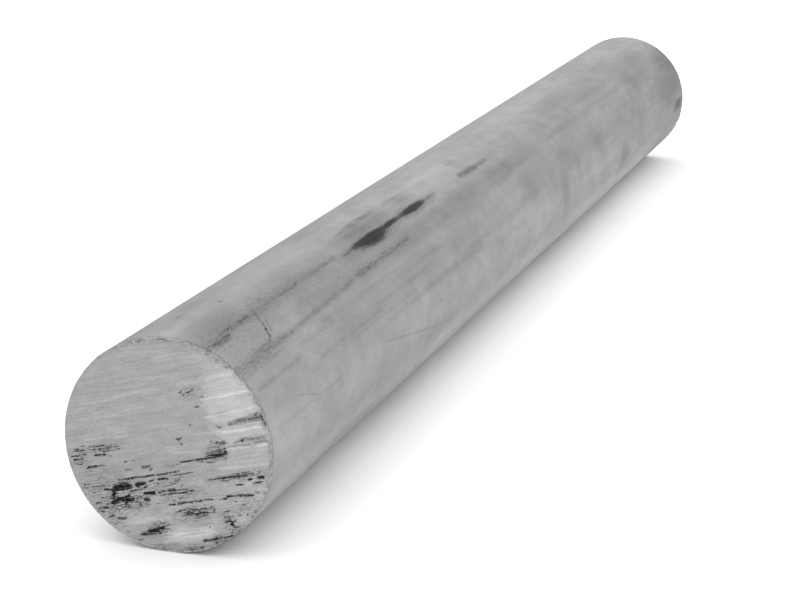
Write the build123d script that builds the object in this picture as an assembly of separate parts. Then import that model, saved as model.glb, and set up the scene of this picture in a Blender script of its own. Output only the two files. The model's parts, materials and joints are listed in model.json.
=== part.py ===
from build123d import *

import os

# Round aluminium bar: one length of solid mill-finish stock, band-sawn at both ends.
#
# The bar lies along Y on the plane Z = 0, with its front end towards -Y.
# The origin is halfway along the line on which it rests. Millimetres, +Z up.

# Section and cut length, as the stock is sold.
bar_diameter = 32.0
bar_length = 300.0

# Width and depth of the worn corner between the round and each sawn face.
corner_break = 0.2

bar_radius = bar_diameter / 2
resting_height = bar_radius  # the axis lies one radius above the floor


def half_section():
    """Half of the bar's lengthwise section: from the axis out to the round, corners broken."""
    half_length = bar_length / 2
    corners = [
        (0, -half_length),
        (bar_radius - corner_break, -half_length),
        (bar_radius, -half_length + corner_break),
        (bar_radius, half_length - corner_break),
        (bar_radius - corner_break, half_length),
        (0, half_length),
    ]
    return make_face(Polyline(*corners, close=True))


def round_bar():
    """The half section turned once about the bar's own axis, then lifted to lie on the floor."""
    solid = revolve(half_section(), axis=Axis.Y)
    return Pos(0, 0, resting_height) * solid


os.makedirs("parts", exist_ok=True)
export_step(round_bar(), "parts/round_bar.step")
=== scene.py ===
"""Looks of the round metal bar: sawn ends, burred rims, mill finish and stains, built on the CAD frame.

Shapes are worked out in millimetres about the bar's axis and handed to Blender in metres.
A place on an end is (u, w): u along +X and w along +Z from the middle of the end.
A place on the round is (angle, y): degrees about the axis from +X towards +Z, and the place along the bar.
"""

import json
import math

import bpy
import numpy as np
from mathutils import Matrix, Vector


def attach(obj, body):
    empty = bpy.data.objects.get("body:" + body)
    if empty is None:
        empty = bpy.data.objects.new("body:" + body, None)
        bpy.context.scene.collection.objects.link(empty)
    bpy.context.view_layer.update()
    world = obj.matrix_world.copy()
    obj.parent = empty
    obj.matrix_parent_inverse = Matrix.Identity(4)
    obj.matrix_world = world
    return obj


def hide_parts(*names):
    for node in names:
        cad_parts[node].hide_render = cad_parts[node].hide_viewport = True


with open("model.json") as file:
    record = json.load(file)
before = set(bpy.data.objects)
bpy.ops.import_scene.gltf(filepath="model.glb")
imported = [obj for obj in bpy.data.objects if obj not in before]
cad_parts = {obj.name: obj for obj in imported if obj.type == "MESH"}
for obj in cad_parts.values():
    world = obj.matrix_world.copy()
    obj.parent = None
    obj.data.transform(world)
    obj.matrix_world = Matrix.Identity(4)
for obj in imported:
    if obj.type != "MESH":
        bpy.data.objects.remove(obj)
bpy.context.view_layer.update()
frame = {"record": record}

MM = 0.001
MOUNTS = {mount["name"]: mount for mount in frame["record"]["mounts"]}
RADIUS = MOUNTS["bar_outside"]["dims"]["r_mm"]
AXIS_HEIGHT = MOUNTS["bar_outside"]["pos_m"][2] / MM
FRONT_Y = MOUNTS["front_end"]["pos_m"][1] / MM
BACK_Y = MOUNTS["back_end"]["pos_m"][1] / MM

# The mesh: points round each rim, a third as many round the rest, rings along it, columns on the ends,
# and the sharpest fold that is still shaded smooth.
RIM_POINTS = 768
ROUND_POINTS = RIM_POINTS // 3
ROUND_RINGS = 110
FRONT_COLUMNS = 112
BACK_COLUMNS = 32
SMOOTH_ANGLE = math.radians(50)

# Where the flat of an end stops, and how far from each end the even rings of the round start.
FACE_RADIUS = RADIUS - 0.22
RIM_LENGTH = 2

# The band saw's marks on an end: their slope, the pitch and place of the blade's regular ridges, the
# rise from one ridge to the next, and the height and width of the lip on each.
SAW_ANGLE = math.radians(14.5)
RIDGE_PITCH = 2.65
RIDGE_PHASE = 0.72
RIDGE_RISE = 0.022
LIP_HEIGHT = 0.018
LIP_WIDTH = 0.16

# Depth of the torn places under the front end's dirt, and height of the crumbs along its rim below.
TORN_DEPTH = 0.035
CRUMB_HEIGHT = 0.06

# The burr: its least height, what its flakes add, how far they lean out over the round, and the angle
# at which the blade left the bar, where they are largest.
BURR_HEIGHT = 0.05
FLAKE_HEIGHT = 0.17
FLAKE_LEAN = 0.15
LEAVING_ANGLE = math.radians(-70)

# Dirt on the front end, dragged along the saw lines: from (u, w) to (u, w), width, strength.
END_DIRT = [
    # The two black clumps at the left below, and what trails from them.
    (-8.2, -7.2, -6.2, -6.75, 0.85, 1.4),
    (-8.9, -7.6, -7.0, -7.3, 0.5, 1.3),
    (-7.6, -6.5, -6.0, -6.2, 0.4, 0.9),
    (-10.0, -7.75, -8.9, -7.5, 0.35, 1.1),
    (-4.9, -6.35, -3.8, -6.0, 0.6, 1.4),
    (-4.8, -6.6, -4.5, -6.5, 0.4, 1.1),
    (-3.7, -6.6, -3.5, -6.5, 0.45, 1.0),
    (-3.7, -7.6, -3.2, -7.5, 0.5, 1.3),
    (-3.0, -7.4, -2.3, -7.3, 0.55, 1.4),
    (-8.7, -8.5, -8.4, -8.0, 0.6, 1.2),
    (-8.6, -9.4, -8.0, -9.0, 0.9, 1.3),
    (-8.0, -8.9, -5.6, -8.7, 0.75, 1.25),
    (-6.5, -8.4, -6.2, -8.2, 0.6, 1.2),
    (-6.8, -9.5, -6.4, -9.0, 0.5, 1.1),
    (-5.4, -9.0, -4.2, -9.25, 0.45, 0.8),
    (-5.0, -8.6, -4.3, -8.15, 0.4, 0.8),
    (-3.6, -8.5, -3.1, -8.4, 0.45, 1.2),
    (-5.9, -7.4, -4.0, -7.0, 0.25, 0.95),
    (-7.4, -9.9, -5.6, -9.9, 0.4, 0.6),
    # The long lines right of them.
    (-7.9, -6.0, -6.4, -5.65, 0.28, 0.85),
    (-6.4, -5.65, -2.6, -4.7, 0.32, 1.1),
    (-2.4, -4.65, 0.0, -4.1, 0.32, 1.0),
    (0.0, -4.0, 1.8, -3.55, 0.3, 0.95),
    (0.2, -4.45, 2.2, -4.0, 0.22, 0.7),
    (2.3, -3.9, 3.8, -3.5, 0.28, 0.95),
    (-1.5, -5.2, 0.0, -4.85, 0.34, 1.1),
    (-2.9, -5.6, -2.3, -5.4, 0.36, 0.85),
    (-2.1, -5.85, -1.3, -5.65, 0.28, 0.65),
    (1.1, -5.1, 1.8, -4.8, 0.32, 0.85),
    (0.0, -3.2, 1.1, -3.0, 0.26, 0.75),
    (0.0, -2.9, 1.8, -2.5, 0.22, 0.65),
    (-3.9, -3.65, -2.8, -3.3, 0.36, 1.1),
    (-2.7, -3.95, -2.4, -3.6, 0.3, 0.7),
    (-6.6, -4.3, -5.6, -4.1, 0.3, 0.7),
    (0.4, -5.6, 1.6, -5.3, 0.3, 0.6),
    (-0.6, -6.1, 0.6, -5.8, 0.26, 0.6),
    (-3.8, -9.3, -3.0, -9.1, 0.3, 0.6),
    (-1.9, -8.85, -1.3, -8.75, 0.28, 0.6),
    (1.9, -7.6, 3.4, -7.2, 0.3, 0.55),
    # The lines below and right of the middle.
    (-1.5, -7.1, 0.0, -6.7, 0.32, 1.0),
    (0.2, -6.65, 1.1, -6.4, 0.42, 1.25),
    (1.2, -6.5, 3.0, -6.05, 0.26, 0.8),
    (-1.9, -7.75, 0.0, -7.25, 0.24, 0.75),
    (0.0, -7.25, 3.0, -6.55, 0.3, 0.95),
    (3.0, -6.5, 3.9, -6.25, 0.3, 0.95),
    (2.1, -5.8, 2.25, -5.7, 0.34, 0.9),
    (4.1, -7.8, 5.2, -7.6, 0.36, 1.0),
    (5.2, -7.5, 6.9, -7.2, 0.3, 0.9),
    (1.6, -8.45, 3.8, -7.95, 0.34, 1.05),
    (0.1, -8.8, 1.0, -8.65, 0.28, 1.1),
    (8.0, -7.1, 8.9, -6.9, 0.26, 0.85),
    (8.5, -6.75, 8.9, -6.7, 0.26, 0.85),
    (1.3, -9.75, 2.8, -9.3, 0.34, 0.8),
    (2.8, -9.85, 3.7, -9.6, 0.6, 0.9),
    (3.9, -9.8, 4.0, -9.3, 0.36, 0.8),
    (4.2, -9.85, 5.0, -9.5, 0.38, 1.0),
    (5.3, -9.6, 6.0, -9.3, 0.65, 0.7),
    (5.2, -8.85, 6.8, -8.45, 0.4, 0.85),
    (6.9, -9.1, 7.0, -8.7, 0.5, 0.65),
    (2.1, -10.25, 2.7, -10.1, 0.3, 0.7),
    (3.9, -10.75, 4.5, -10.5, 0.4, 0.6),
    (3.0, -9.3, 4.4, -9.0, 0.36, 0.85),
    (4.6, -9.6, 5.6, -9.2, 0.4, 0.8),
    (5.6, -11.1, 8.6, -10.6, 0.26, 0.5),
    # The two wedges that run to the right.
    (2.1, -2.15, 4.5, -1.55, 0.3, 1.0),
    (4.5, -1.55, 7.0, -0.9, 0.36, 1.15),
    (7.0, -0.85, 9.0, -0.15, 0.52, 1.1),
    (8.4, -0.2, 9.0, 0.1, 0.48, 1.05),
    (6.2, -0.75, 8.3, -0.1, 0.75, 0.8),
    (7.8, 0.33, 9.1, 0.68, 0.28, 0.9),
    (8.85, -0.4, 8.95, -1.3, 0.24, 0.8),
    (5.0, -1.75, 5.5, -1.7, 0.26, 0.8),
    (6.1, -1.8, 7.2, -1.55, 0.32, 0.8),
    (6.5, 0.5, 7.9, 0.8, 0.3, 0.6),
    (6.4, -4.35, 8.0, -3.95, 0.32, 0.8),
    (7.9, -3.9, 10.4, -3.4, 0.42, 0.9),
    (10.2, -3.3, 11.9, -2.95, 0.72, 0.92),
    (11.9, -2.8, 13.0, -2.55, 0.6, 0.75),
    (8.5, -4.2, 9.4, -4.05, 0.24, 0.75),
    (12.4, -3.6, 12.8, -3.5, 0.42, 1.2),
    (13.8, -3.15, 14.6, -2.95, 0.4, 1.3),
    (13.1, -4.05, 14.5, -3.75, 0.32, 0.85),
    (13.9, -2.35, 14.1, -2.2, 0.36, 0.7),
    (14.85, -2.6, 14.95, -2.1, 0.26, 0.65),
    (10.7, -4.55, 11.5, -4.4, 0.34, 1.0),
    (9.2, -6.4, 9.5, -6.3, 0.42, 1.25),
    (9.6, -6.4, 11.2, -6.15, 0.32, 1.0),
    (11.2, -6.1, 12.9, -5.85, 0.42, 1.05),
    (13.4, -5.25, 14.0, -5.35, 0.28, 0.85),
    # What sits near the rim below.
    (8.7, -10.5, 9.4, -10.2, 0.4, 1.0),
    (9.5, -10.25, 10.0, -10.7, 0.55, 1.4),
    (10.1, -10.1, 10.4, -9.95, 0.26, 0.8),
    (8.6, -9.7, 9.2, -9.7, 0.3, 0.85),
    (9.3, -9.6, 9.8, -9.4, 0.4, 0.6),
    (10.8, -9.2, 11.2, -9.05, 0.3, 0.8),
    (12.0, -8.9, 12.2, -8.8, 0.32, 0.85),
    (11.6, -7.3, 12.0, -7.2, 0.24, 0.8),
    (10.2, -7.1, 10.6, -7.0, 0.3, 0.6),
    (12.5, -7.6, 12.8, -7.4, 0.3, 0.6),
    (13.5, -7.9, 13.8, -7.7, 0.26, 0.6),
    (12.9, -6.6, 13.4, -6.5, 0.26, 0.55),
    (8.6, -8.9, 9.4, -8.6, 0.3, 0.6),
    (10.3, -11.0, 10.8, -10.8, 0.26, 0.6),
    (10.4, -11.9, 10.7, -11.6, 0.26, 0.7),
    (11.2, -10.9, 11.5, -10.7, 0.24, 0.6),
    (12.6, -9.2, 12.9, -9.0, 0.24, 0.55),
    (9.65, -12.0, 9.8, -11.5, 0.3, 0.7),
    (6.3, -11.55, 6.4, -11.45, 0.3, 0.8),
    (5.4, -13.7, 5.8, -13.5, 0.42, 1.25),
    (6.0, -13.45, 7.5, -13.05, 0.34, 1.1),
    (6.9, -13.4, 7.4, -13.8, 0.3, 0.9),
    (7.8, -12.95, 8.1, -12.8, 0.34, 0.85),
    (8.4, -12.85, 9.8, -12.3, 0.38, 0.9),
    (4.9, -14.8, 5.1, -14.7, 0.36, 0.85),
    (3.1, -15.3, 3.7, -15.2, 0.24, 0.8),
    (-3.0, -13.15, -1.9, -12.95, 0.8, 1.4),
    (-3.0, -12.9, -0.9, -12.5, 0.42, 1.1),
    (-4.3, -13.9, -1.4, -13.3, 0.45, 1.05),
    (-4.8, -14.8, -4.1, -14.6, 0.3, 0.65),
    (-9.5, -11.8, -8.8, -11.5, 0.42, 1.0),
    (-8.0, -11.9, -6.8, -11.65, 0.42, 1.05),
    (-8.0, -11.4, -7.6, -11.3, 0.3, 0.65),
    (-5.5, -11.0, -5.1, -10.9, 0.32, 0.65),
    (-8.7, -12.8, -8.1, -12.7, 0.3, 0.6),
    (-6.6, -13.7, -6.1, -13.65, 0.3, 0.6),
    # The left, with its fine lines.
    (-11.5, -10.0, -10.7, -9.85, 0.3, 0.95),
    (-9.8, -10.0, -9.3, -9.8, 0.32, 0.85),
    (-10.1, -10.5, -9.7, -10.4, 0.55, 1.05),
    (-11.0, -10.8, -10.5, -10.6, 0.32, 0.8),
    (-13.25, -7.4, -13.15, -7.3, 0.32, 1.1),
    (-12.7, -7.3, -12.4, -7.1, 0.26, 0.7),
    (-11.9, -7.5, -9.2, -6.95, 0.24, 0.75),
    (-13.3, -7.85, -11.0, -7.85, 0.24, 0.7),
    (-12.6, -4.65, -11.1, -4.25, 0.36, 1.15),
    (-10.9, -4.1, -9.8, -3.95, 0.3, 0.85),
    (-15.1, -3.25, -12.8, -2.7, 0.28, 0.9),
    (-14.6, -3.7, -13.5, -3.4, 0.42, 0.75),
    (-14.0, -4.35, -13.4, -4.1, 0.34, 0.7),
    (-14.5, -2.15, -13.9, -2.0, 0.32, 0.9),
    (-11.2, -2.65, -9.7, -2.3, 0.38, 1.0),
    (-12.0, -1.9, -7.6, -0.85, 0.26, 0.85),
    (-10.2, -1.95, -7.5, -1.25, 0.26, 0.9),
    (-12.3, -1.5, -9.7, -0.95, 0.22, 0.65),
    (-9.4, -2.5, -8.7, -2.35, 0.28, 0.6),
    (-6.75, -3.1, -6.45, -3.05, 0.3, 0.95),
    (-5.3, -2.7, -5.15, -2.7, 0.28, 0.65),
    (-14.9, -2.5, -13.2, -2.1, 0.22, 0.6),
    (-13.6, -1.5, -12.2, -1.2, 0.22, 0.55),
    (-13.0, -5.3, -11.6, -5.0, 0.24, 0.6),
    (-12.8, -5.8, -11.8, -5.7, 0.3, 0.55),
    (-11.0, -6.0, -10.0, -5.85, 0.26, 0.55),
    (-12.8, -6.6, -12.2, -6.4, 0.3, 0.55),
    (-12.4, -8.3, -10.8, -8.2, 0.24, 0.5),
    (-10.2, -9.0, -9.0, -8.9, 0.28, 0.65),
    (-8.9, -10.3, -8.2, -10.0, 0.34, 0.7),
    (-7.9, -10.7, -7.4, -10.5, 0.3, 0.6),
    (-10.6, -11.2, -10.2, -11.1, 0.3, 0.7),
    (-7.4, -13.1, -6.6, -12.85, 0.24, 0.55),
    # The right above.
    (9.7, 4.35, 10.9, 4.8, 0.34, 0.4),
    (11.0, 4.95, 13.6, 5.75, 0.3, 0.36),
    (13.6, 5.75, 14.9, 6.0, 0.45, 0.62),
    (13.6, 6.2, 13.9, 6.4, 0.34, 0.95),
    (14.9, 5.5, 15.2, 4.95, 0.36, 0.95),
    (14.6, 6.9, 14.6, 6.6, 0.26, 0.8),
    (15.6, 3.5, 15.75, 3.2, 0.32, 0.8),
    (11.45, 2.05, 11.7, 2.2, 0.36, 1.2),
    (10.5, 1.75, 11.3, 2.05, 0.26, 0.5),
    (14.1, 2.2, 15.0, 2.5, 0.34, 0.4),
    (6.8, 1.4, 7.0, 1.5, 0.3, 0.8),
    (7.4, 1.2, 8.9, 1.55, 0.5, 0.62),
    (7.7, 3.8, 8.3, 3.7, 0.34, 0.65),
    (1.6, 1.25, 2.15, 1.4, 0.36, 0.95),
    (2.0, 1.0, 2.3, 0.4, 0.28, 0.65),
    (3.7, 3.6, 3.9, 3.7, 0.32, 0.8),
    (4.6, 6.35, 5.0, 6.45, 0.28, 0.85),
    (2.25, 8.25, 2.4, 8.4, 0.34, 0.9),
    (2.7, 7.9, 2.9, 8.0, 0.36, 0.95),
    (3.5, 8.3, 4.3, 8.95, 0.32, 0.75),
    (5.4, 7.95, 5.7, 8.0, 0.3, 0.7),
]

# Grey, speckled patches of the front end: middle (u, w), length along the saw lines, width, strength.
END_PATCHES = [
    # A faint haze over the whole lower half, and then the patches themselves.
    (0.0, -8.5, 28.0, 14.0, 0.25),
    (-11.0, -1.7, 9.5, 2.4, 0.75),
    (-13.5, -3.7, 4.0, 2.4, 0.65),
    (-11.0, -5.4, 8.0, 3.0, 0.50),
    (-8.0, -8.0, 13.0, 6.4, 0.85),
    (-6.0, -9.2, 7.5, 3.2, 1.25),
    (-9.2, -10.4, 5.5, 2.6, 1.15),
    (-8.4, -11.9, 6.5, 2.6, 0.60),
    (-1.2, -12.3, 4.0, 2.4, 1.40),
    (-3.5, -13.8, 4.6, 1.8, 0.65),
    (-3.0, -6.9, 7.0, 3.4, 0.75),
    (0.5, -4.9, 8.0, 2.6, 0.60),
    (2.0, -7.2, 9.0, 3.0, 0.85),
    (4.2, -9.5, 7.6, 2.8, 1.25),
    (4.5, -11.0, 8.0, 2.2, 0.35),
    (7.9, -0.1, 3.8, 2.4, 1.10),
    (8.0, 1.3, 3.0, 1.4, 0.75),
    (10.8, -3.5, 6.0, 2.0, 0.75),
    (14.0, -3.1, 2.6, 2.8, 0.75),
    (11.0, -6.2, 6.5, 2.2, 0.60),
    (9.2, -9.4, 4.2, 2.4, 0.85),
    (10.2, -11.4, 3.2, 3.0, 0.90),
    (7.6, -13.1, 5.4, 1.8, 0.95),
    (3.4, -15.0, 5.0, 1.4, 0.85),
    (-1.0, -15.3, 6.0, 1.2, 0.85),
    (12.2, -7.6, 4.2, 2.8, 0.75),
    (12.3, 5.2, 6.6, 1.3, 0.85),
    (13.2, 2.6, 4.8, 1.2, 0.70),
    (3.4, 8.2, 3.4, 2.0, 0.60),
    (14.9, 5.3, 1.6, 2.8, 0.80),
]

# Soft grey lines of the front end, listed as the dirt is, with the share of light taken.
END_LINES = [
    (9.7, 4.3, 11.2, 4.95, 0.60, 0.40),
    (11.0, 4.9, 13.4, 5.65, 0.65, 0.52),
    (13.2, 5.6, 14.7, 6.0, 0.70, 0.58),
    (12.7, 5.95, 13.8, 6.4, 0.45, 0.32),
    (7.6, 3.8, 8.7, 3.95, 0.70, 0.22),
    (10.5, 1.72, 11.5, 2.2, 0.40, 0.42),
    (11.6, 2.3, 14.7, 2.95, 0.60, 0.36),
    (13.6, 2.1, 15.1, 2.55, 0.50, 0.42),
    (9.5, 1.0, 12.8, 1.7, 0.34, 0.30),
    (5.0, 4.9, 9.4, 6.15, 0.32, 0.16),
    (5.9, -4.45, 12.3, -2.7, 0.80, 0.18),
    (5.8, -1.2, 8.8, -0.1, 1.00, 0.20),
]

# Painted highlights along the ridges left by the blade on the front end, listed as the dirt is.
END_RIDGE_HIGHLIGHTS = [
    (2.0, 9.4, 6.5, 10.75, 0.34, 0.35),
    (6.5, 10.75, 10.6, 11.95, 0.42, 0.65),
    (5.6, 7.6, 8.2, 8.35, 0.36, 0.55),
    (8.2, 8.35, 12.4, 9.5, 0.46, 0.85),
    (6.0, 5.0, 8.8, 5.8, 0.32, 0.45),
    (8.8, 5.8, 12.9, 6.9, 0.38, 0.65),
    (8.6, 3.0, 14.4, 4.5, 0.36, 0.90),
    (9.0, 0.55, 12.4, 1.25, 0.30, 0.60),
    (13.8, 1.55, 15.4, 2.1, 0.40, 0.75),
    (7.9, -2.5, 11.8, -1.7, 0.32, 0.75),
    (12.4, -1.5, 15.4, -0.8, 0.34, 0.45),
    (-15.0, 2.1, -12.0, 2.8, 0.30, 0.35),
    (-11.0, 3.0, -7.6, 4.0, 0.30, 0.30),
    (-8.0, 6.6, -1.0, 8.3, 0.30, 0.25),
    (-8.0, 1.2, -6.5, 1.5, 0.28, 0.25),
    (1.0, -0.9, 5.0, -0.35, 0.30, 0.35),
    (5.2, -14.05, 6.4, -13.85, 0.30, 0.60),
    (-6.0, -5.0, -2.0, -4.3, 0.70, 0.25),
    (0.5, -13.4, 6.5, -12.3, 1.50, 1.00),
    (-6.6, -12.2, 0.0, -10.9, 0.70, 0.50),
    (-0.5, -14.4, 3.5, -13.6, 0.80, 0.70),
    (-13.5, 4.9, -9.0, 5.9, 0.28, 0.20),
    (-10.0, 8.0, -4.0, 9.7, 0.30, 0.20),
    (-6.0, 4.6, 1.0, 6.3, 0.30, 0.22),
    (-3.2, 9.6, 3.0, 11.2, 0.28, 0.25),
    (-2.0, 13.0, 5.5, 14.6, 0.30, 0.22),
    (1.5, 12.3, 9.0, 14.0, 0.30, 0.22),
    (-5.0, 2.0, 2.0, 3.6, 0.26, 0.22),
    (-13.0, -0.4, -6.0, 1.0, 0.28, 0.24),
    (3.0, 1.9, 8.0, 3.1, 0.28, 0.28),
    (-4.0, -1.6, 1.5, -0.3, 0.26, 0.22),
]

# The back end's marks, of the same kinds, are few and light.
BACK_DIRT = [
    (2.0, -7.0, 6.5, -5.9, 0.34, 1.0),
    (-9.0, 2.4, -5.2, 3.4, 0.30, 1.0),
    (7.2, 6.6, 9.6, 7.3, 0.34, 0.9),
    (-3.0, -10.6, -0.6, -10.0, 0.44, 1.0),
    (4.2, -1.0, 4.5, -0.9, 0.34, 1.0),
    (-1.0, 9.6, 2.4, 10.5, 0.26, 0.8),
]
BACK_PATCHES = [
    (3.0, -8.5, 14.0, 6.0, 0.70),
    (-6.0, 2.4, 9.0, 3.0, 0.55),
    (8.0, 6.5, 6.0, 2.4, 0.55),
]
BACK_LINES = [
    (6.0, -9.0, 11.5, -7.6, 0.50, 0.30),
    (-11.0, 4.5, -6.5, 5.7, 0.40, 0.25),
]
# Painted highlights along the back end's ridges.
BACK_RIDGE_HIGHLIGHTS = [
    (-12.0, -1.5, -5.0, 0.3, 0.36, 0.5),
    (-2.0, 3.7, 6.0, 5.8, 0.34, 0.4),
    (3.0, -4.4, 11.0, -2.3, 0.36, 0.5),
]

# Black smears on the round: middle (angle, y), length along the bar, width round it, strength.
ROUND_DIRT = [
    (66.2, -91.5, 6.0, 0.9, 1.1),
    (66.6, -79.5, 24.0, 2.0, 2.3),
    (64.8, -79.8, 18.0, 2.6, 2.0),
    (62.6, -79.6, 13.0, 2.2, 1.6),
    (66.8, -69.5, 14.0, 1.5, 1.9),
    (66.5, -64.0, 24.0, 1.3, 1.4),
    (66.3, -57.0, 18.0, 1.9, 2.1),
    (65.4, -56.5, 12.0, 1.5, 1.6),
    (66.2, -48.5, 14.0, 1.0, 1.0),
]

# Lines and scratches on the round: from (angle, y) to (angle, y), width, share of light taken.
ROUND_LINES = [
    (69.0, -149.0, 69.2, -130.0, 1.20, 0.34),
    (69.2, -130.0, 69.0, -96.0, 0.90, 0.28),
    (69.3, -143.0, 69.3, -133.0, 1.10, 0.44),
    (69.1, -121.0, 69.0, -113.0, 0.90, 0.38),
    (66.5, -149.0, 66.3, -142.0, 1.40, 0.58),
    (72.0, -149.0, 71.5, -138.0, 1.00, 0.25),
    (47.5, -149.0, 48.0, -128.0, 1.00, 0.34),
    (49.5, -149.0, 50.0, -136.0, 0.70, 0.28),
    (45.5, -149.0, 45.5, -138.0, 0.70, 0.26),
    (43.0, -149.0, 43.5, -134.0, 0.60, 0.20),
    (48.0, -128.0, 50.8, -96.0, 0.90, 0.26),
    (50.8, -97.0, 51.5, -70.0, 1.30, 0.40),
    (51.5, -70.0, 52.5, -48.0, 1.20, 0.20),
    (66.0, -28.0, 65.2, -18.0, 1.30, 0.42),
    (65.2, -19.0, 65.2, -11.0, 0.90, 0.26),
    (42.0, -118.0, 41.0, -84.0, 1.00, 0.12),
    (36.0, -88.0, 35.5, -60.0, 1.00, 0.12),
    (24.0, -112.0, 23.5, -80.0, 0.80, 0.10),
    (34.0, -148.0, 34.0, -131.0, 0.70, 0.18),
    (39.0, -130.0, 38.5, -112.0, 0.80, 0.10),
    (27.5, -125.0, 27.0, -95.0, 0.80, 0.12),
    (31.0, -98.0, 30.0, -70.0, 0.80, 0.12),
    (19.0, -96.0, 18.5, -70.0, 0.9, 0.10),
    (18.7, -74.0, 18.4, -42.0, 1.3, 0.15),
    (22.0, -52.0, 21.5, -36.0, 0.9, 0.12),
    (12.0, -147.0, 10.5, -120.0, 0.60, 0.10),
    # The scratch that zigzags across, and two faint ones lower.
    (72.0, -130.0, 66.0, -131.2, 0.45, 0.55),
    (66.0, -131.2, 60.0, -132.6, 0.40, 0.45),
    (60.0, -132.6, 53.0, -134.2, 0.50, 0.58),
    (53.0, -134.2, 49.5, -136.2, 0.40, 0.50),
    (62.0, -130.9, 54.0, -132.6, 0.35, 0.40),
    (10.0, -100.0, -3.0, -80.0, 0.45, 0.14),
    (-3.0, -80.0, -15.0, -60.0, 0.45, 0.11),
    (20.0, -138.0, 12.0, -130.0, 0.30, 0.16),
    # Specks.
    (89.5, -130.2, 89.2, -129.8, 0.50, 0.42),
    (100.0, -139.2, 99.4, -138.6, 0.40, 0.34),
    (75.0, -125.2, 74.6, -124.8, 0.40, 0.34),
    (71.0, -122.7, 70.7, -122.3, 0.40, 0.34),
    (24.0, -96.2, 23.5, -95.8, 0.40, 0.30),
    (10.0, -125.2, 9.6, -124.8, 0.40, 0.30),
    (14.0, -132.2, 13.5, -131.8, 0.40, 0.30),
    (6.0, -70.2, 5.5, -69.8, 0.45, 0.24),
]

# Where the round is finely speckled with grime: middle (angle, y), length along the bar, width, strength.
ROUND_GRIME = [
    (71.0, -128.0, 64.0, 6.5, 0.8),
    (66.0, -143.0, 20.0, 5.0, 1.0),
    (48.0, -141.0, 26.0, 4.5, 1.0),
    (57.0, -105.0, 90.0, 8.0, 0.5),
    (74.0, -78.0, 26.0, 5.0, 0.5),
    (36.0, -120.0, 70.0, 8.0, 0.45),
    (10.0, -130.0, 50.0, 7.0, 0.45),
]

# Grey stains on the round: middle (angle, y), length along the bar, width round it, share of light taken.
ROUND_STAINS = [
    (82.0, -76.0, 24.0, 1.8, 0.32),
    (81.5, -56.0, 14.0, 1.6, 0.22),
    (75.0, -77.0, 26.0, 5.0, 0.22),
    (76.0, -55.0, 11.0, 5.0, 0.19),
    (64.8, -80.0, 32.0, 4.4, 0.30),
    (66.0, -57.0, 28.0, 3.0, 0.28),
    (81.0, -22.0, 7.0, 3.6, 0.20),
    (76.0, -143.0, 22.0, 6.0, 0.20),
    (69.0, -128.0, 60.0, 3.6, 0.14),
    (47.0, -143.0, 18.0, 3.8, 0.18),
    (59.0, -146.0, 10.0, 9.0, 0.10),
    (51.0, -45.0, 120.0, 5.2, 0.20),
    (49.5, -10.0, 46.0, 4.0, 0.22),
    (50.0, 39.0, 26.0, 3.0, 0.12),
    (48.5, 70.0, 70.0, 2.2, 0.06),
    (35.0, -80.0, 70.0, 5.0, 0.06),
    (30.0, -2.0, 10.0, 8.0, 0.13),
    (6.0, 21.0, 8.0, 9.0, 0.17),
    (32.0, 28.0, 12.0, 5.0, 0.11),
    (24.0, 55.0, 13.0, 9.0, 0.15),
    (-5.0, 78.0, 9.0, 7.0, 0.14),
    (78.0, 55.0, 40.0, 9.0, 0.09),
    (76.0, 101.0, 16.0, 4.6, 0.11),
    (62.0, 70.0, 20.0, 6.0, 0.08),
    (47.0, 112.0, 26.0, 6.0, 0.16),
    (58.0, 124.0, 44.0, 8.0, 0.11),
    (44.0, 147.0, 34.0, 12.0, 0.22),
    (24.0, 138.0, 34.0, 9.0, 0.16),
    (-1.0, 143.0, 12.0, 4.0, 0.42),
    (10.0, 135.0, 16.0, 6.0, 0.13),
]

# Where the round as a whole is darker, listed as the stains are: broad stains, and painted shade in a long
# band high on the right and under the far end.
ROUND_STAINS_AND_SHADE = [
    (67.0, -112.0, 137.0, 12.5, 0.22),
    (64.0, 40.0, 220.0, 10.0, 0.14),
    (0.0, 148.0, 44.0, 60.0, 0.07),
    (-33.0, 142.0, 60.0, 13.0, 0.20),
]

# Shares of light that each kind of surface gives back, and the tint of the metal's sheen at a low angle.
METAL_TONE = 0.488
END_TONE = 0.358
DIRT_TONE = 0.007
FLOOR_TONE = 0.91
EDGE_TINT = 0.12

# Factors by which some places are lighter than the rest: a strip low on the round's right, lightened as a
# painted reflection of the floor, with the angle of its middle, the back of the round and the lower half of
# an end.
FLOOR_REFLECTION_ANGLE = math.radians(-29)
FLOOR_REFLECTION_GAIN = 1.24
BACK_GAIN = 1.10
LOWER_GAIN = 1.19

# Shares of light added to an end: where the blade's burnish is, partly brighter metal and partly a painted
# reflection, and as a painted highlight on the ridges, at full strength.
BURNISH_REFLECTION_SHARE = 0.27
RIDGE_HIGHLIGHT_SHARE = 0.42

# Roughness of the dirt and share of its sheen, and depth of the fine grit and scratches in the metal.
DIRT_ROUGHNESS = 0.8
DIRT_SHEEN = 0.05
GRIT_DEPTH = 0.003

# The studio's light: from the walls, from overhead, and what is added from behind on the left.
WALL_LIGHT = 0.71
OVERHEAD_LIGHT = 1.80
OVERHEAD = (0, -0.1, 1.0)
BACK_LIGHT = 0.3
BEHIND_LEFT = (-0.5, 0.85, 0.1)

# The camera: its lens and sensor in millimetres, its place and the place that it looks at in metres.
LENS = 95.29
SENSOR_WIDTH = 36.0
CAMERA_PLACE = (0.11999, -0.40890, 0.11595)
CAMERA_AIM = (0, -0.04437, 0.00972)


def eased(value):
    """A fraction from 0 to 1, eased at both ends."""
    value = np.clip(value, 0, 1)
    return value * value * (3 - 2 * value)


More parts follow.
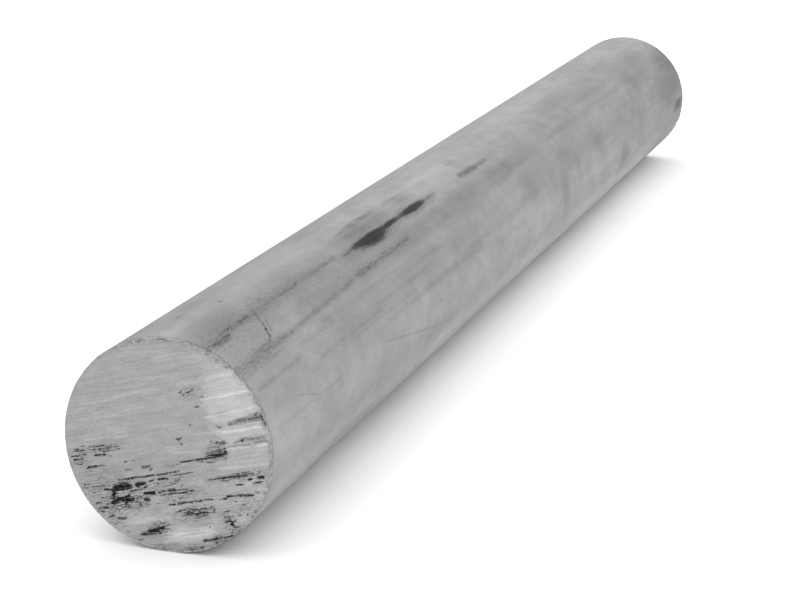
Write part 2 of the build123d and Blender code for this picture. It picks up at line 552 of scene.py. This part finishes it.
def hills(along, across, step_along, step_across, seed):
    """Smooth random heights from -1 to 1, one for each cell of step_along by step_across."""
    cells = 256
    heights = np.random.default_rng(seed).uniform(-1, 1, (cells, cells))
    a = along / step_along + cells / 2
    b = across / step_across + cells / 2
    i = np.floor(a).astype(int)
    j = np.floor(b).astype(int)
    rise_a = eased(a - i)
    rise_b = eased(b - j)

    def height(di, dj):
        return heights[(i + di) % cells, (j + dj) % cells]

    near = height(0, 0) * (1 - rise_a) + height(1, 0) * rise_a
    far = height(0, 1) * (1 - rise_a) + height(1, 1) * rise_a
    return near * (1 - rise_b) + far * rise_b


def to_saw(u, w):
    """A place on an end as distances along and across the saw lines."""
    along = u * math.cos(SAW_ANGLE) + w * math.sin(SAW_ANGLE)
    across = w * math.cos(SAW_ANGLE) - u * math.sin(SAW_ANGLE)
    return along, across


def from_saw(along, across):
    """The opposite of to_saw."""
    u = along * math.cos(SAW_ANGLE) - across * math.sin(SAW_ANGLE)
    w = across * math.cos(SAW_ANGLE) + along * math.sin(SAW_ANGLE)
    return u, w


def sawn_relief(along, across, seed):
    """How far a sawn end stands proud: the blade's ridges, strongest at the right, and fine scratches."""
    drift = 0.12 * hills(along, across, 9, 5, seed)
    turn = (across - RIDGE_PHASE + drift) / RIDGE_PITCH
    phase = turn - np.floor(turn)
    slope = RIDGE_RISE * (phase - 0.5)
    lip = LIP_HEIGHT * np.exp(-(np.minimum(phase, 1 - phase) * RIDGE_PITCH / LIP_WIDTH) ** 2)
    strength = 0.15 + 0.85 * eased((along - 2) / 8) + 0.2 * hills(along, across, 6, 2.6, seed + 1)
    scratches = (
        0.008 * hills(along, across, 9, 0.5, seed + 2)
        + 0.005 * hills(along, across, 4, 0.24, seed + 3)
        + 0.004 * hills(along, across, 1.5, 0.16, seed + 4)
    )
    return strength * (slope + lip) + scratches


def torn_depth(along, across):
    """Depth, from 0 to about 1, of the torn places in which the front end's dirt sits."""
    depth = np.zeros_like(along)
    for u0, w0, u1, w1, width, strength in END_DIRT:
        start, end = np.array(to_saw(u0, w0)), np.array(to_saw(u1, w1))
        run = end - start
        share = ((along - start[0]) * run[0] + (across - start[1]) * run[1]) / max(run @ run, 0.01)
        share = np.clip(share, 0, 1)
        reach = np.hypot(along - start[0] - share * run[0], across - start[1] - share * run[1]) / width
        depth = np.maximum(depth, strength * eased(1.2 - reach))
    return depth


def front_relief(along, across):
    """Relief of the front end, torn under the dirt and crumbled along the rim below."""
    u, w = from_saw(along, across)
    torn = torn_depth(along, across) * (0.6 + 0.5 * hills(along, across, 0.7, 0.28, 31))
    edge = eased((np.hypot(u, w) - (FACE_RADIUS - 1.3)) / 1.0)
    below = eased((-w - 6) / 6)
    crumbs = CRUMB_HEIGHT * hills(along, across, 0.55, 0.3, 41) * edge * below
    return sawn_relief(along, across, 11) - TORN_DEPTH * torn + crumbs


def back_relief(along, across):
    """Relief of the back end."""
    return sawn_relief(along, across, 71)


def rim_angles(count):
    """Angles of evenly spaced points round the bar, starting at the lowest point across the saw lines."""
    return SAW_ANGLE - math.pi / 2 + 2 * math.pi * np.arange(count) / count


def ring(radius, y, angles):
    """Points round the axis, from one radius and one y or from one of each for every angle."""
    return np.stack([radius * np.cos(angles), y + 0 * angles, radius * np.sin(angles)], axis=1)


def burr_rings(y, outward, seed):
    """Rings from the face of an end over its burr to the clean round. The first is the burr's crest."""
    angles = rim_angles(RIM_POINTS)
    turn = angles * RADIUS
    here = eased(0.5 + 0.9 * hills(turn, 0 * turn, 3.5, 1, seed + 1))
    large_flakes = hills(turn, 0 * turn, 0.5, 1, seed)
    small_flakes = hills(turn, 0 * turn, 0.2, 1, seed + 3)
    flakes = here * np.clip(large_flakes + 0.4 * small_flakes, 0, 1)
    leaving_side = 0.3 + 0.7 * eased((np.cos(angles - LEAVING_ANGLE) + 0.5) / 1.2)
    height = BURR_HEIGHT + FLAKE_HEIGHT * flakes * leaving_side
    wobble = 0.04 * hills(turn, 0 * turn, 0.45, 1, seed + 2)
    return [
        ring(RADIUS - 0.03 + 0.5 * wobble, y + outward * height, angles),
        ring(RADIUS + 0.02 + FLAKE_LEAN * flakes * leaving_side, y - outward * 0.06, angles),
        ring(RADIUS + 0.2 * wobble, y - outward * 0.35, angles),
        ring(RADIUS, y - outward * 1.0, angles),
    ]


def round_rings():
    """Rings of the round itself, very slightly uneven from the drawing die and handling."""
    angles = rim_angles(ROUND_POINTS)
    turn = angles * RADIUS
    rings = []
    for y in np.linspace(FRONT_Y + RIM_LENGTH, BACK_Y - RIM_LENGTH, ROUND_RINGS):
        uneven = 0.010 * hills(turn, y + 0 * turn, 5, 60, 91) + 0.004 * hills(turn, y + 0 * turn, 0.9, 40, 92)
        rings.append(ring(RADIUS + uneven, y, angles))
    return rings


class Surface:
    """A mesh being put together: its points, its faces and the number of each face's material."""

    def __init__(self):
        self.points = []
        self.faces = []
        self.finishes = []

    def add_points(self, points):
        """Keeps the points and gives their numbers."""
        first = len(self.points)
        self.points.extend(points.tolist())
        return np.arange(first, first + len(points))

    def add_faces(self, finish, *corners):
        """One face for each set of corners. Each argument holds the same corner of every face."""
        faces = np.stack(corners, axis=1).tolist()
        self.faces.extend(faces)
        self.finishes.extend([finish] * len(faces))

    def add_end(self, columns, relief, y, outward, finish):
        """An end's face in rows along the saw lines. Gives the numbers of the points on its edge."""
        half = RIM_POINTS // 2
        rows = []
        for k in range(half + 1):
            rise = math.pi * k / half - math.pi / 2
            count = 1 if k in (0, half) else columns + 1
            along = FACE_RADIUS * math.cos(rise) * (np.linspace(-1, 1, count) if count > 1 else np.zeros(1))
            across = np.full(count, FACE_RADIUS * math.sin(rise))
            u, w = from_saw(along, across)
            rows.append(self.add_points(np.stack([u, y + outward * relief(along, across), w], axis=1)))
        for low, high in zip(rows, rows[1:]):
            corners = [low[:-1], low[1:], high[1:], high[:-1]]
            if len(low) == 1:
                corners = [np.repeat(low, columns), high[1:], high[:-1]]
            if len(high) == 1:
                corners = [low[:-1], low[1:], np.repeat(high, columns)]
            self.add_faces(finish, *(corners if outward < 0 else corners[::-1]))
        right = [row[-1] for row in rows]
        left = [row[0] for row in rows[-2:0:-1]]
        return np.array(right + left)

    def add_band(self, front, back, finish):
        """The band between two rings, of which one may have three times as many points."""
        if len(front) == len(back):
            self.add_faces(finish, front, back, np.roll(back, -1), np.roll(front, -1))
            return
        fine, coarse = (front, back) if len(front) > len(back) else (back, front)
        ahead = np.roll(coarse, -1)
        first, second, third = fine[0::3], fine[1::3], fine[2::3]
        fourth = np.roll(first, -1)
        for corners in ((first, coarse, second), (second, coarse, ahead, third), (third, ahead, fourth)):
            self.add_faces(finish, *(corners if fine is front else corners[::-1]))


ROUND_FINISH, FRONT_FINISH, BACK_FINISH = range(3)


def bar_surface():
    """The whole bar as one closed surface, in millimetres about its own axis."""
    surface = Surface()
    front_edge = surface.add_end(FRONT_COLUMNS, front_relief, FRONT_Y, -1, FRONT_FINISH)
    back_edge = surface.add_end(BACK_COLUMNS, back_relief, BACK_Y, 1, BACK_FINISH)
    shapes = burr_rings(FRONT_Y, -1, 51) + round_rings() + burr_rings(BACK_Y, 1, 61)[::-1]
    rings = [front_edge, *(surface.add_points(shape) for shape in shapes), back_edge]
    for number, (front, back) in enumerate(zip(rings, rings[1:])):
        finish = ROUND_FINISH
        if number == 0:
            finish = FRONT_FINISH
        if number == len(rings) - 2:
            finish = BACK_FINISH
        surface.add_band(front, back, finish)
    return surface


def new_object(name, data):
    """An object that shows a mesh or holds a camera, put into the scene."""
    made = bpy.data.objects.new(name, data)
    bpy.context.scene.collection.objects.link(made)
    return made


def make_bar(materials):
    """The bar's piece, which stands for the CAD node."""
    surface = bar_surface()
    points = (np.array(surface.points) + (0, 0, AXIS_HEIGHT)) * MM
    mesh = bpy.data.meshes.new("bar_metal")
    mesh.from_pydata(points.tolist(), [], surface.faces)
    for material in materials:
        mesh.materials.append(material)
    mesh.polygons.foreach_set("material_index", surface.finishes)
    mesh.polygons.foreach_set("use_smooth", [True] * len(surface.faces))
    mesh.set_sharp_from_angle(angle=SMOOTH_ANGLE)
    return new_object("bar_metal", mesh)


class Shade:
    """A node tree being put together. Each call adds a node and gives its output."""

    def __init__(self, tree):
        self.tree = tree

    def add(self, kind, inputs, output=0, **settings):
        """Any kind of node. Its inputs are numbers, or outputs of other nodes, which are linked."""
        node = self.tree.nodes.new(kind)
        for name, value in settings.items():
            setattr(node, name, value)
        for key, value in inputs.items():
            if isinstance(value, bpy.types.NodeSocket):
                self.tree.links.new(value, node.inputs[key])
            else:
                node.inputs[key].default_value = value
        return node.outputs[output]

    def math(self, operation, *values):
        """One operation on numbers."""
        return self.add("ShaderNodeMath", dict(enumerate(values)), operation=operation)

    def vector(self, operation, *values, output=0):
        """One operation on vectors."""
        return self.add("ShaderNodeVectorMath", dict(enumerate(values)), output=output, operation=operation)

    def dot(self, a, b):
        """The dot product of two vectors."""
        return self.vector("DOT_PRODUCT", a, b, output="Value")

    def join(self, x, y, z=0.0):
        """Three numbers as a vector."""
        return self.add("ShaderNodeCombineXYZ", {0: x, 1: y, 2: z})

    def noise(self, place, steps, detail=2.0, roughness=0.5):
        """Noise from 0 to 1 with cells of the given size along each axis."""
        scaled = self.vector("DIVIDE", place, steps)
        inputs = {"Vector": scaled, "Scale": 1.0, "Detail": detail, "Roughness": roughness}
        return self.add("ShaderNodeTexNoise", inputs)

    def climb(self, value, low, high, bottom=0.0, top=1.0):
        """Rises smoothly from bottom to top as the value goes from low to high, and stays there past them."""
        # Smoothstep holds its ends by itself, and a clamp would be one more node at every use.
        inputs = {0: value, 1: low, 2: high, 3: bottom, 4: top}
        return self.add("ShaderNodeMapRange", inputs, interpolation_type="SMOOTHSTEP", clamp=False)

    def dimmed(self, tone, share):
        """The tone less a share of itself."""
        return self.math("MULTIPLY", tone, self.math("SUBTRACT", 1.0, share))

    def mix(self, share, a, b):
        """From a to b as the share goes from 0 to 1."""
        return self.add("ShaderNodeMix", {0: share, 2: a, 3: b})

    def group(self, tree, **inputs):
        """A node group, with its inputs given by name."""
        sockets = {key.capitalize(): value for key, value in inputs.items()}
        return self.add("ShaderNodeGroup", sockets, node_tree=tree)


def node_group(name, **inputs):
    """A node group with the given inputs, of which each is named with its kind, and one output, Mark."""
    tree = bpy.data.node_groups.new(name, "ShaderNodeTree")
    for socket, kind in inputs.items():
        tree.interface.new_socket(socket.capitalize(), in_out="INPUT", socket_type="NodeSocket" + kind)
    tree.interface.new_socket("Mark", in_out="OUTPUT", socket_type="NodeSocketFloat")
    return tree, Shade(tree), tree.nodes.new("NodeGroupInput").outputs


def close_group(tree, result):
    """Links the result to the group's output."""
    output = tree.nodes.new("NodeGroupOutput")
    tree.links.new(result, output.inputs["Mark"])
    return tree


def patch_group():
    """One soft round or long patch: its strength in the middle, falling to 0 outside."""
    tree, shade, given = node_group("patch", place="Vector", middle="Vector", size="Vector", strength="Float")
    off = shade.vector("SUBTRACT", given["Place"], given["Middle"])
    reach = shade.vector("LENGTH", shade.vector("DIVIDE", off, given["Size"]), output="Value")
    fade = shade.climb(reach, 0.2, 1.4, 1.0, 0.0)
    return close_group(tree, shade.math("MULTIPLY", fade, given["Strength"]))


def streak_group():
    """One streak from a start along a run: its strength on the line, half of it at half the width off."""
    kinds = {"place": "Vector", "start": "Vector", "run": "Vector", "slope": "Vector"}
    tree, shade, given = node_group("streak", **kinds, width="Float", strength="Float")
    off = shade.vector("SUBTRACT", given["Place"], given["Start"])
    share = shade.math("MINIMUM", shade.math("MAXIMUM", shade.dot(off, given["Slope"]), 0.0), 1.0)
    on_line = shade.add("ShaderNodeVectorMath", {0: given["Run"], "Scale": share}, operation="SCALE")
    away = shade.vector("LENGTH", shade.vector("SUBTRACT", off, on_line), output="Value")
    fade = shade.climb(shade.math("DIVIDE", away, given["Width"]), 0.0, 1.0, 1.0, 0.0)
    return close_group(tree, shade.math("MULTIPLY", fade, given["Strength"]))


PATCH = patch_group()
STREAK = streak_group()


def emptied(owner):
    """The shade of a material's or a world's node tree, from which all nodes are taken."""
    owner.use_nodes = True
    owner.node_tree.nodes.clear()
    return Shade(owner.node_tree)


def show(shade, kind, surface):
    """Links the surface to a new output node of the given kind."""
    output = shade.tree.nodes.new(kind)
    shade.tree.links.new(surface, output.inputs["Surface"])


def new_material(name):
    """A material, its shade and its surface shader."""
    material = bpy.data.materials.new(name)
    shade = emptied(material)
    shader = shade.tree.nodes.new("ShaderNodeBsdfPrincipled")
    show(shade, "ShaderNodeOutputMaterial", shader.outputs["BSDF"])
    return material, shade, shader


def place_in_mm(shade):
    """The place on the bar in millimetres about its axis."""
    metres = shade.add("ShaderNodeTexCoord", {}, output="Object")
    about_axis = shade.vector("SUBTRACT", metres, (0, 0, AXIS_HEIGHT * MM))
    return shade.vector("DIVIDE", about_axis, (MM, MM, MM))


def patches(shade, place, listed):
    """The strongest of the listed patches: middle along, middle across, length, width and strength."""
    strongest = 0.0
    for along, across, length, width, strength in listed:
        size = (length / 2, width / 2, 1)
        patch = shade.group(PATCH, place=place, middle=(along, across, 0), size=size, strength=strength)
        strongest = shade.math("MAXIMUM", strongest, patch)
    return strongest


def streaks(shade, place, listed):
    """The strongest of the listed streaks: start, end, width and strength of each."""
    strongest = 0.0
    for start, end, width, strength in listed:
        run = Vector((*end, 0)) - Vector((*start, 0))
        slope = run / max(run.length_squared, 0.0001)
        ends = {"start": (*start, 0), "run": run, "slope": slope}
        streak = shade.group(STREAK, place=place, **ends, width=width, strength=strength)
        strongest = shade.math("MAXIMUM", strongest, streak)
    return strongest


def on_end(listed):
    """Streaks listed by (u, w) places, given by places along and across the saw lines."""
    return [(to_saw(u0, w0), to_saw(u1, w1), *rest) for u0, w0, u1, w1, *rest in listed]


def on_end_patches(listed):
    """Patches listed by (u, w) places, given by places along and across the saw lines."""
    return [(*to_saw(u, w), *rest) for u, w, *rest in listed]


def arc(angle):
    """The distance round the bar to an angle in degrees."""
    return math.radians(angle) * RADIUS


def on_round(listed):
    """Streaks listed by (angle, y) places, given by places along and round the bar."""
    return [((y0, arc(a0)), (y1, arc(a1)), *rest) for a0, y0, a1, y1, *rest in listed]


def on_round_patches(listed):
    """Patches listed by (angle, y) places, given by places along and round the bar."""
    return [(y, arc(angle), *rest) for angle, y, *rest in listed]


def shaken(shade, place, amount_along, amount_across, steps):
    """The place, shifted a little by noise, so that what is drawn there has ragged edges.

    The two shifts are read from the noise far apart, so that they differ.
    """
    shifts = []
    for amount, apart in ((amount_along, 0), (amount_across, 50)):
        moved = shade.vector("ADD", place, (apart, apart, apart))
        shifts.append(shade.math("MULTIPLY_ADD", shade.noise(moved, steps), 2 * amount, -amount))
    return shade.vector("ADD", place, shade.join(*shifts))


def uneven(shade, tone, noises):
    """The tone, made darker and lighter by each of the noises as far as the two shares given with it."""
    for noise, dark, light in noises:
        tone = shade.math("MULTIPLY", tone, shade.climb(noise, 0.25, 0.75, dark, light))
    return tone


def finish_metal(shade, shader, tone, dirt, roughness, grit):
    """Links what has been worked out to the surface shader. Dirt is dull and black."""
    colour = shade.mix(dirt, tone, DIRT_TONE)
    links = shade.tree.links
    links.new(shade.join(colour, colour, colour), shader.inputs["Base Color"])
    links.new(shade.math("SUBTRACT", 1.0, dirt), shader.inputs["Metallic"])
    links.new(shade.mix(dirt, roughness, DIRT_ROUGHNESS), shader.inputs["Roughness"])
    shader.inputs["Specular IOR Level"].default_value = DIRT_SHEEN
    shader.inputs["Specular Tint"].default_value = (EDGE_TINT, EDGE_TINT, EDGE_TINT, 1)
    bump = shade.add("ShaderNodeBump", {"Height": grit, "Distance": GRIT_DEPTH * MM, "Strength": 1.0})
    links.new(bump, shader.inputs["Normal"])


def mill_finish():
    """The round: dull metal with blotches, lengthwise streaks, stains, lines, grime and black smears, a
    painted floor reflection low on the right, broad bands of painted shade, and the burr's painted shade next
    to each rim.
    """
    material, shade, shader = new_material("mill_finish")
    place = place_in_mm(shade)
    split = shade.tree.nodes.new("ShaderNodeSeparateXYZ")
    shade.tree.links.new(place, split.inputs[0])
    angle = shade.math("ARCTAN2", split.outputs["Z"], split.outputs["X"])
    turn = shade.math("MULTIPLY", angle, RADIUS)
    drawn = shade.join(split.outputs["Y"], turn)

    long_streaks = shade.noise(place, (1.4, 30, 1.4), 3.0, 0.6)
    fine_streaks = shade.noise(place, (0.25, 9, 0.25), 2.0, 0.6)
    blotches = shade.noise(place, (10, 16, 10), 3.0, 0.55)
    mottling = shade.noise(place, (2.5, 4, 2.5), 3.0, 0.65)
    grit = shade.noise(place, (0.4, 0.7, 0.4), 2.0, 0.7)
    noises = [(long_streaks, 0.985, 1.012), (fine_streaks, 0.99, 1.01)]
    noises += [(blotches, 0.93, 1.06), (mottling, 0.95, 1.04), (grit, 0.97, 1.03)]
    # Painted reflection of the floor: a strip low on the round's right is made lighter.
    off_reflection = shade.math("ABSOLUTE", shade.math("ADD", angle, -FLOOR_REFLECTION_ANGLE))
    floor_reflection = shade.climb(off_reflection, math.radians(2), math.radians(20), FLOOR_REFLECTION_GAIN, 1.0)
    tone = uneven(shade, shade.math("MULTIPLY", METAL_TONE, floor_reflection), noises)
    tone = shade.math("MULTIPLY", tone, shade.climb(split.outputs["Y"], -140.0, 40.0, 1.0, BACK_GAIN))
    # Broad stains, and painted shade in bands.
    stain_and_shade = patches(shade, drawn, on_round_patches(ROUND_STAINS_AND_SHADE))
    tone = shade.dimmed(tone, stain_and_shade)

    ragged = shaken(shade, drawn, 1.0, 0.2, (2.5, 0.7, 1))
    grain = shade.noise(drawn, (2.2, 0.3, 1), 3.0, 0.65)
    stain = patches(shade, shaken(shade, drawn, 2.5, 1.2, (7, 3, 1)), on_round_patches(ROUND_STAINS))
    stain = shade.math("MULTIPLY", stain, shade.climb(mottling, 0.3, 0.7, 0.5, 1.4))
    grime = patches(shade, drawn, on_round_patches(ROUND_GRIME))
    specks = shade.climb(shade.noise(drawn, (0.9, 0.45, 1), 3.0, 0.7), 0.45, 0.75, 0.0, 0.4)
    stain = shade.math("MULTIPLY_ADD", grime, specks, stain)
    line = streaks(shade, ragged, on_round(ROUND_LINES))
    line = shade.math("MULTIPLY", line, shade.climb(grain, 0.3, 0.7, 0.3, 1.5))
    tone = shade.dimmed(tone, shade.math("MAXIMUM", stain, line))

    # Painted shade of the burr: specks darken the round next to each rim.
    end_distance = shade.math("ABSOLUTE", split.outputs["Y"])
    rim = shade.climb(end_distance, BACK_Y - 1.2, BACK_Y - 0.2)
    shadow_flecks = shade.climb(shade.noise(place, (0.5, 0.5, 0.5), 2.0, 0.6), 0.35, 0.65, 0.45, 0.0)
    tone = shade.dimmed(tone, shade.math("MULTIPLY", rim, shadow_flecks))

    smear = patches(shade, ragged, on_round_patches(ROUND_DIRT))
    ragged_edge = shade.climb(grain, 0.3, 0.7, -0.25, 0.25)
    smear = shade.math("MULTIPLY_ADD", ragged_edge, shade.climb(smear, 0, 0.4), smear)
    dirt = shade.climb(smear, 0.05, 1.8, 0.0, 0.88)

    roughness = shade.climb(long_streaks, 0.2, 0.8, 0.50, 0.56)
    finish_metal(shade, shader, tone, dirt, roughness, grit)
    return material


def burnish_and_reflection_share(shade, along, across):
    """How far a place shows the blade's burnish, smoother metal lightened by a painted reflection: wholly
    towards the right, from another start in each band.
    """
    band = shade.math("FLOOR", shade.math("DIVIDE", shade.math("SUBTRACT", across, RIDGE_PHASE), RIDGE_PITCH))
    per_band = shade.noise(shade.join(0.0, band), (1, 0.7, 1))
    wander = shade.noise(shade.join(along, across), (2.5, 0.7, 1), 3.0, 0.6)
    start = shade.math("MULTIPLY_ADD", per_band, 6.0, along)
    start = shade.math("MULTIPLY_ADD", wander, 4.0, start)
    burnish_and_reflection = shade.climb(start, 11.8, 13.6)
    burnish_and_reflection = shade.math("MULTIPLY", burnish_and_reflection, shade.climb(across, -6.0, 2.5, 0.1, 1.0))
    return shade.math("MULTIPLY", burnish_and_reflection, shade.climb(across, 7.5, 10.5, 1.0, 0.3))


def burr_shadow(shade, place, along):
    """The painted shade of the torn burr at the rim, speckled, least at the left."""
    out = shade.vector("LENGTH", shade.vector("MULTIPLY", place, (1, 0, 1)), output="Value")
    near_rim = shade.climb(out, FACE_RADIUS - 0.7, FACE_RADIUS)
    shadow_flecks = shade.climb(shade.noise(place, (0.7, 1, 0.5), 3.0, 0.7), 0.38, 0.62, 0.0, 0.68)
    here = shade.climb(shade.noise(place, (3, 3, 3), 2.0, 0.6), 0.35, 0.62, 0.15, 1.0)
    side = shade.climb(along, -14.0, 4.0, 0.1, 0.8)
    # Painted shade of the burr, in specks near the rim.
    torn = shade.math("MULTIPLY", near_rim, shadow_flecks)
    return shade.math("MULTIPLY", torn, shade.math("MULTIPLY", here, side))


def sawn_finish(name, listed_dirt, listed_patches, listed_lines, listed_highlights):
    """An end: scratches, painted highlights on the blade's ridges, a side of burnish lightened by a painted
    reflection, the burr's painted shade at the rim, and grey lines and dirt along the saw lines.
    """
    material, shade, shader = new_material(name)
    place = place_in_mm(shade)
    along = shade.dot(place, (math.cos(SAW_ANGLE), 0, math.sin(SAW_ANGLE)))
    across = shade.dot(place, (-math.sin(SAW_ANGLE), 0, math.cos(SAW_ANGLE)))
    sawn = shade.join(along, across)

    scratches = shade.noise(sawn, (5.0, 0.3, 1), 3.0, 0.65)
    bands = shade.noise(sawn, (12, 0.9, 1), 2.0, 0.5)
    blotches = shade.noise(sawn, (3.5, 2.2, 1), 3.0, 0.6)
    grit = shade.noise(sawn, (0.5, 0.35, 1), 2.0, 0.7)
    noises = [(scratches, 0.90, 1.07), (bands, 0.95, 1.05), (blotches, 0.92, 1.07), (grit, 0.92, 1.06)]
    brighter_below = shade.climb(across, -10.0, -2.0, LOWER_GAIN, 1.0)
    tone = uneven(shade, shade.math("MULTIPLY", END_TONE, brighter_below), noises)

    burnish_and_reflection = burnish_and_reflection_share(shade, along, across)
    # Painted highlights along the blade's ridges.
    ridge_highlight = streaks(shade, shaken(shade, sawn, 0.5, 0.08, (3, 0.5, 1)), on_end(listed_highlights))
    ridge_highlight = shade.math("MULTIPLY", ridge_highlight, shade.climb(scratches, 0.3, 0.7, 0.6, 1.3))
    # The tone is lifted by the painted reflection where the burnish is and by the painted highlights on the
    # ridges, and lowered at the rim by the burr's painted shade.
    lift = shade.math("MULTIPLY_ADD", burnish_and_reflection, BURNISH_REFLECTION_SHARE, 1.0)
    lift = shade.math("MULTIPLY_ADD", ridge_highlight, RIDGE_HIGHLIGHT_SHARE, lift)
    lift = shade.math("SUBTRACT", lift, burr_shadow(shade, place, along))
    tone = shade.math("MULTIPLY", tone, lift)

    ragged = shaken(shade, sawn, 0.5, 0.14, (1.1, 0.35, 1))
    line = streaks(shade, ragged, on_end(listed_lines))
    tone = shade.dimmed(tone, line)
    dragged = shade.noise(sawn, (1.6, 0.22, 1), 3.0, 0.7)
    specks = shade.noise(sawn, (0.45, 0.2, 1), 3.0, 0.75)
    patch = patches(shade, shaken(shade, sawn, 0.8, 0.4, (2.5, 1, 1)), on_end_patches(listed_patches))
    streak = streaks(shade, ragged, on_end(listed_dirt))
    coarse_grain = shade.climb(dragged, 0.3, 0.7, -0.27, 0.27)
    fine_grain = shade.climb(specks, 0.3, 0.7, -0.29, 0.29)
    grain = shade.math("ADD", coarse_grain, fine_grain)
    veil = shade.math("MULTIPLY", patch, shade.climb(grain, -0.32, 0.40, 0.0, 0.72))
    tone = shade.dimmed(tone, veil)
    level = shade.math("MULTIPLY_ADD", patch, 0.12, streak)
    level = shade.math("MULTIPLY_ADD", grain, shade.climb(level, 0.0, 0.6, 0.0, 1.2), level)
    dirt = shade.climb(level, 0.2, 1.25, 0.0, 0.97)

    roughness = shade.mix(burnish_and_reflection, 0.5, 0.44)
    finish_metal(shade, shader, tone, dirt, roughness, scratches)
    return material


def make_floor():
    """A plain pale floor."""
    mesh = bpy.data.meshes.new("floor")
    reach = 6.0
    corners = [(-reach, -reach, 0), (reach, -reach, 0), (reach, reach, 0), (-reach, reach, 0)]
    mesh.from_pydata(corners, [], [(0, 1, 2, 3)])
    floor = new_object("floor", mesh)
    material = bpy.data.materials.new("white_table")
    shade = emptied(material)
    lit = shade.add("ShaderNodeBsdfDiffuse", {"Color": (FLOOR_TONE, FLOOR_TONE, FLOOR_TONE, 1)})
    show(shade, "ShaderNodeOutputMaterial", lit)
    mesh.materials.append(material)


def make_light():
    """A white studio: seen pure white, it lights the bar most from overhead and a little from behind."""
    world = bpy.data.worlds.new("white_studio")
    bpy.context.scene.world = world
    shade = emptied(world)
    seen = shade.add("ShaderNodeBackground", {"Color": (1, 1, 1, 1), "Strength": 1.0})
    direction = shade.add("ShaderNodeTexCoord", {}, output="Generated")
    overhead = shade.climb(shade.dot(direction, OVERHEAD), 0.3, 0.8, WALL_LIGHT, OVERHEAD_LIGHT)
    behind = shade.climb(shade.dot(direction, BEHIND_LEFT), 0.6, 0.95, 0.0, BACK_LIGHT)
    strength = shade.math("ADD", overhead, behind)
    around = shade.add("ShaderNodeBackground", {"Color": (1, 1, 1, 1), "Strength": strength})
    by_camera = shade.add("ShaderNodeLightPath", {}, output="Is Camera Ray")
    both = shade.add("ShaderNodeMixShader", {0: by_camera, 1: around, 2: seen})
    show(shade, "ShaderNodeOutputWorld", both)


def make_camera():
    """The camera, above the front end and to its right, looking down along the bar."""
    camera = bpy.data.cameras.new("camera")
    camera.lens = LENS
    camera.sensor_width = SENSOR_WIDTH
    holder = new_object("camera", camera)
    holder.location = CAMERA_PLACE
    holder.rotation_euler = (Vector(CAMERA_AIM) - Vector(CAMERA_PLACE)).to_track_quat("-Z", "Y").to_euler()
    bpy.context.scene.camera = holder


bar = make_bar([
    mill_finish(),
    sawn_finish("sawn_front", END_DIRT, END_PATCHES, END_LINES, END_RIDGE_HIGHLIGHTS),
    sawn_finish("sawn_back", BACK_DIRT, BACK_PATCHES, BACK_LINES, BACK_RIDGE_HIGHLIGHTS),
])
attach(bar, "root")
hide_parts("round_bar")

make_floor()
make_light()
make_camera()
bpy.context.scene.view_settings.view_transform = "Standard"
